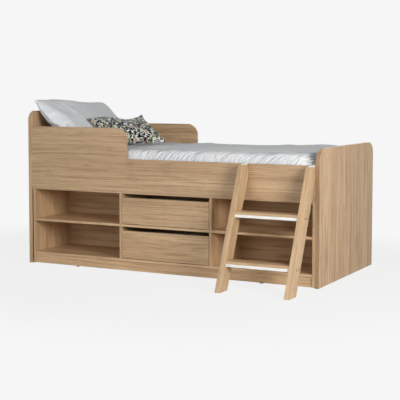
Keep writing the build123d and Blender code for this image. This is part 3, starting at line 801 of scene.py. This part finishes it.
def sewn_case(name, length, width, cell, bow):
    """Two layers of cotton with slightly bowed sides, sewn together round the edge and lying flat."""
    bpy.ops.object.select_all(action="DESELECT")
    cells = {"x_subdivisions": round(width / cell), "y_subdivisions": round(length / cell)}
    bpy.ops.mesh.primitive_grid_add(size=1, **cells)
    case = flat_start(name)
    bpy.ops.transform.resize(value=(width, length, 1))
    bpy.ops.object.transform_apply(location=True, rotation=True, scale=True)
    add_modifier(case, "SOLIDIFY", thickness=seam_height, offset=1)
    for point in case.data.vertices:
        across, along = 2 * point.co.x / width, 2 * point.co.y / length
        point.co.x *= 1 + bow[0] * (1 - along * along)
        point.co.y *= 1 + bow[1] * (1 - across * across)
    return case


def brought_to(piece, size):
    """Scales the piece about its own middle to these outside sizes, and centres it."""
    points = piece.data.vertices
    for axis in range(3):
        low = min(point.co[axis] for point in points)
        high = max(point.co[axis] for point in points)
        share = size[axis] / max(high - low, size[axis] / 1000)
        for point in points:
            point.co[axis] = (point.co[axis] - (low + high) / 2) * share


def leaned(piece, node, lean, turn):
    """Leans the piece back, turns it and sets it where its node is."""
    low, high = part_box(node)
    piece.rotation_euler = (0, math.radians(lean), -math.radians(turn))
    piece.location = (low + high) / 2
    bpy.ops.object.select_all(action="DESELECT")
    piece.select_set(True)
    bpy.context.view_layer.objects.active = piece
    bpy.ops.object.transform_apply(location=True, rotation=True, scale=True)


pillow_cover = sewn_case("pillow_cover", **pillow_case)
filled(pillow_cover, pillow_pressure, pillow_spare, case_most_moved)
brought_to(pillow_cover, pillow_size)
leaned(pillow_cover, "pillow", pillow_lean, pillow_turn)
corner = max((point.co.copy() for point in pillow_cover.data.vertices), key=lambda place: place.z - place.y)
pulled(pillow_cover, lambda place: (place - corner).length < pillow_case["cell"], pillow_corner_pull,
       pillow_corner_reach)
for pull in pillow_pulls:
    pulled(pillow_cover, nearest(pillow_cover, pull["spot"]), pull["move"], pull["reach"])
add_modifier(pillow_cover, "SUBSURF", levels=1)


def pillow_folds(place, normal):
    """Shallow folds that run slantwise down the pillow."""
    slope = place.z + place.x * pillow_fold_slope
    across = place.y * math.cos(pillow_fold_turn) + slope * math.sin(pillow_fold_turn)
    along = slope * math.cos(pillow_fold_turn) - place.y * math.sin(pillow_fold_turn)
    across += mathutils.noise.noise(place * pillow_fold_sway[0]) * pillow_fold_sway[1]
    spot = Vector((across * pillow_fold_pitch[0], along * pillow_fold_pitch[1], place.x))
    return (1 - abs(mathutils.noise.fractal(spot, 0.9, 2.0, 3))) ** 3 * pillow_fold_depth


creased(pillow_cover, pillow_folds)
panel_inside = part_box("head_end_panel")[1]
for point in pillow_cover.data.vertices:
    point.co.x = max(point.co.x, panel_inside.x + pillow_room)
    point.co.y = max(point.co.y, rail_inside.y + pillow_room)
bpy.ops.object.shade_smooth()
pillow_cover.data.materials.append(cotton("pillow_cotton", pillow_white, pillow_shadow, 0.014, (8, 8, 6)))
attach(pillow_cover, "pillow")
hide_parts("pillow")

# Patterned cushion: printed cotton, black and white leaves and green sprigs with small orange and
# plum flowers, filled firmer than the pillow and leaning on it.
cushion_case = {"length": 0.405, "width": 0.340, "cell": 0.006, "bow": (-0.03, 0.03)}
cushion_pressure = 4.0
cushion_spare = 0.03
cushion_corner_pull = (0.002, 0.0, 0.014)
cushion_corner_reach = 0.06
cushion_pulls = (
    {"spot": (-0.67, -0.06, 0.92), "move": (-0.012, 0.0, -0.008), "reach": 0.12},
    {"spot": (-0.56, 0.140, 0.92), "move": (0.0, 0.0, -0.027), "reach": 0.15},
)
cushion_size = (0.335, 0.400, 0.110)
cushion_lean = 28
cushion_turn = 27
print_white = paint(238, 238, 232)
print_black = paint(20, 20, 24)
print_green = paint(150, 168, 80)
print_grey = paint(150, 158, 154)
print_orange = paint(200, 116, 46)
print_plum = paint(88, 26, 66)

cushion_cover = sewn_case("cushion_cover", **cushion_case)
filled(cushion_cover, cushion_pressure, cushion_spare, case_most_moved)
brought_to(cushion_cover, cushion_size)
leaned(cushion_cover, "patterned_cushion", cushion_lean, cushion_turn)
corner = max((point.co.copy() for point in cushion_cover.data.vertices), key=lambda place: place.z + place.y)
pulled(cushion_cover, lambda place: (place - corner).length < cushion_case["cell"], cushion_corner_pull,
       cushion_corner_reach)
for pull in cushion_pulls:
    pulled(cushion_cover, nearest(cushion_cover, pull["spot"]), pull["move"], pull["reach"])
add_modifier(cushion_cover, "SUBSURF", levels=1)
bpy.ops.object.shade_smooth()


def scattered(tree, flat, scale, seed):
    """Repeats scattered over the cloth: the place inside one repeat, turned its own way, and its lot."""
    moved = step(tree, "VectorMath", {0: flat, 1: (seed, seed * 1.7, 0)}, operation="ADD").outputs[0]
    cells = step(tree, "TexVoronoi", {"Vector": moved, "Scale": scale}, voronoi_dimensions="2D")
    lots = step(tree, "SeparateColor", {0: cells.outputs["Color"]})
    grown = step(tree, "VectorMath", {0: moved, 3: scale}, operation="SCALE").outputs[0]
    centre = step(tree, "VectorMath", {0: cells.outputs["Position"], 3: scale}, operation="SCALE").outputs[0]
    inside = step(tree, "VectorMath", {0: grown, 1: centre}, operation="SUBTRACT").outputs[0]
    angle = weighted(tree, lots.outputs[0], math.tau)
    turned = step(tree, "VectorRotate", {"Vector": inside, "Angle": angle}, rotation_type="Z_AXIS").outputs[0]
    return turned, lots.outputs[1]


def leaf(tree, flat, scale, seed, length, width):
    """1 on small pointed leaves, one to each repeat, and the lot that picks its colour."""
    place, lot = scattered(tree, flat, scale, seed)
    axes = step(tree, "SeparateXYZ", {0: place}).outputs
    along, across = [step(tree, "Math", {0: axis}, operation="ABSOLUTE").outputs[0] for axis in axes[:2]]
    along = step(tree, "Math", {0: along, 1: length}, operation="DIVIDE").outputs[0]
    along = step(tree, "Math", {0: along, 1: along}, operation="MULTIPLY").outputs[0]
    across = step(tree, "Math", {0: across, 1: width}, operation="DIVIDE").outputs[0]
    total = step(tree, "Math", {0: along, 1: across}, operation="ADD").outputs[0]
    return step(tree, "Math", {0: 1.0, 1: between(tree, total, 0.8, 1.0)}, operation="SUBTRACT").outputs[0], lot


def flower(tree, flat, scale, seed, radius, petals):
    """1 on small flowers, one to each repeat, and the lot that picks their colour."""
    place, lot = scattered(tree, flat, scale, seed)
    axes = step(tree, "SeparateXYZ", {0: place}).outputs
    reach = step(tree, "VectorMath", {0: place}, operation="LENGTH").outputs["Value"]
    angle = step(tree, "Math", {0: axes[1], 1: axes[0]}, operation="ARCTAN2").outputs[0]
    wave = step(tree, "Math", {0: weighted(tree, angle, float(petals))}, operation="COSINE").outputs[0]
    rim = weighted(tree, wave, radius * 0.25, radius * 0.75)
    gap = step(tree, "Math", {0: reach, 1: rim}, operation="DIVIDE").outputs[0]
    return step(tree, "Math", {0: 1.0, 1: between(tree, gap, 0.85, 1.0)}, operation="SUBTRACT").outputs[0], lot


cushion_print = cotton("cushion_print", print_white, print_white, 0.002, (20, 20, 20))
tree = cushion_print.node_tree
cut_size = (cushion_case["width"], cushion_case["length"], 1)
spread = {"Vector": step(tree, "TexCoord").outputs["UV"], "Scale": cut_size}
flat = step(tree, "Mapping", spread).outputs[0]
colour = print_black
for scale, seed, length, width, ink, other in (
        (37.0, 3.1, 0.60, 0.26, print_white, print_white), (42.0, 8.4, 0.62, 0.19, print_grey, print_white),
        (34.0, 5.7, 0.56, 0.16, print_white, print_green), (38.0, 1.9, 0.64, 0.21, print_black, print_black)):
    shape, lot = leaf(tree, flat, scale, seed, length, width)
    ink_colour = blended(tree, between(tree, lot, 0.49, 0.51), ink, other)
    colour = blended(tree, shape, colour, ink_colour)
for scale, seed, radius, petals, least, ink in (
        (15.0, 4.3, 0.27, 6, 0.45, print_white), (15.0, 4.3, 0.12, 0, 0.45, print_orange),
        (12.0, 9.2, 0.17, 5, 0.5, print_plum)):
    shape, lot = flower(tree, flat, scale, seed, radius, petals)
    shape = step(tree, "Math", {0: shape, 1: between(tree, lot, least - 0.01, least)}, operation="MULTIPLY")
    colour = blended(tree, shape.outputs[0], colour, ink)
tree.links.new(colour, tree.nodes["Principled BSDF"].inputs["Base Color"])
cushion_cover.data.materials.append(cushion_print)
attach(cushion_cover, "cushion")
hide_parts("patterned_cushion")
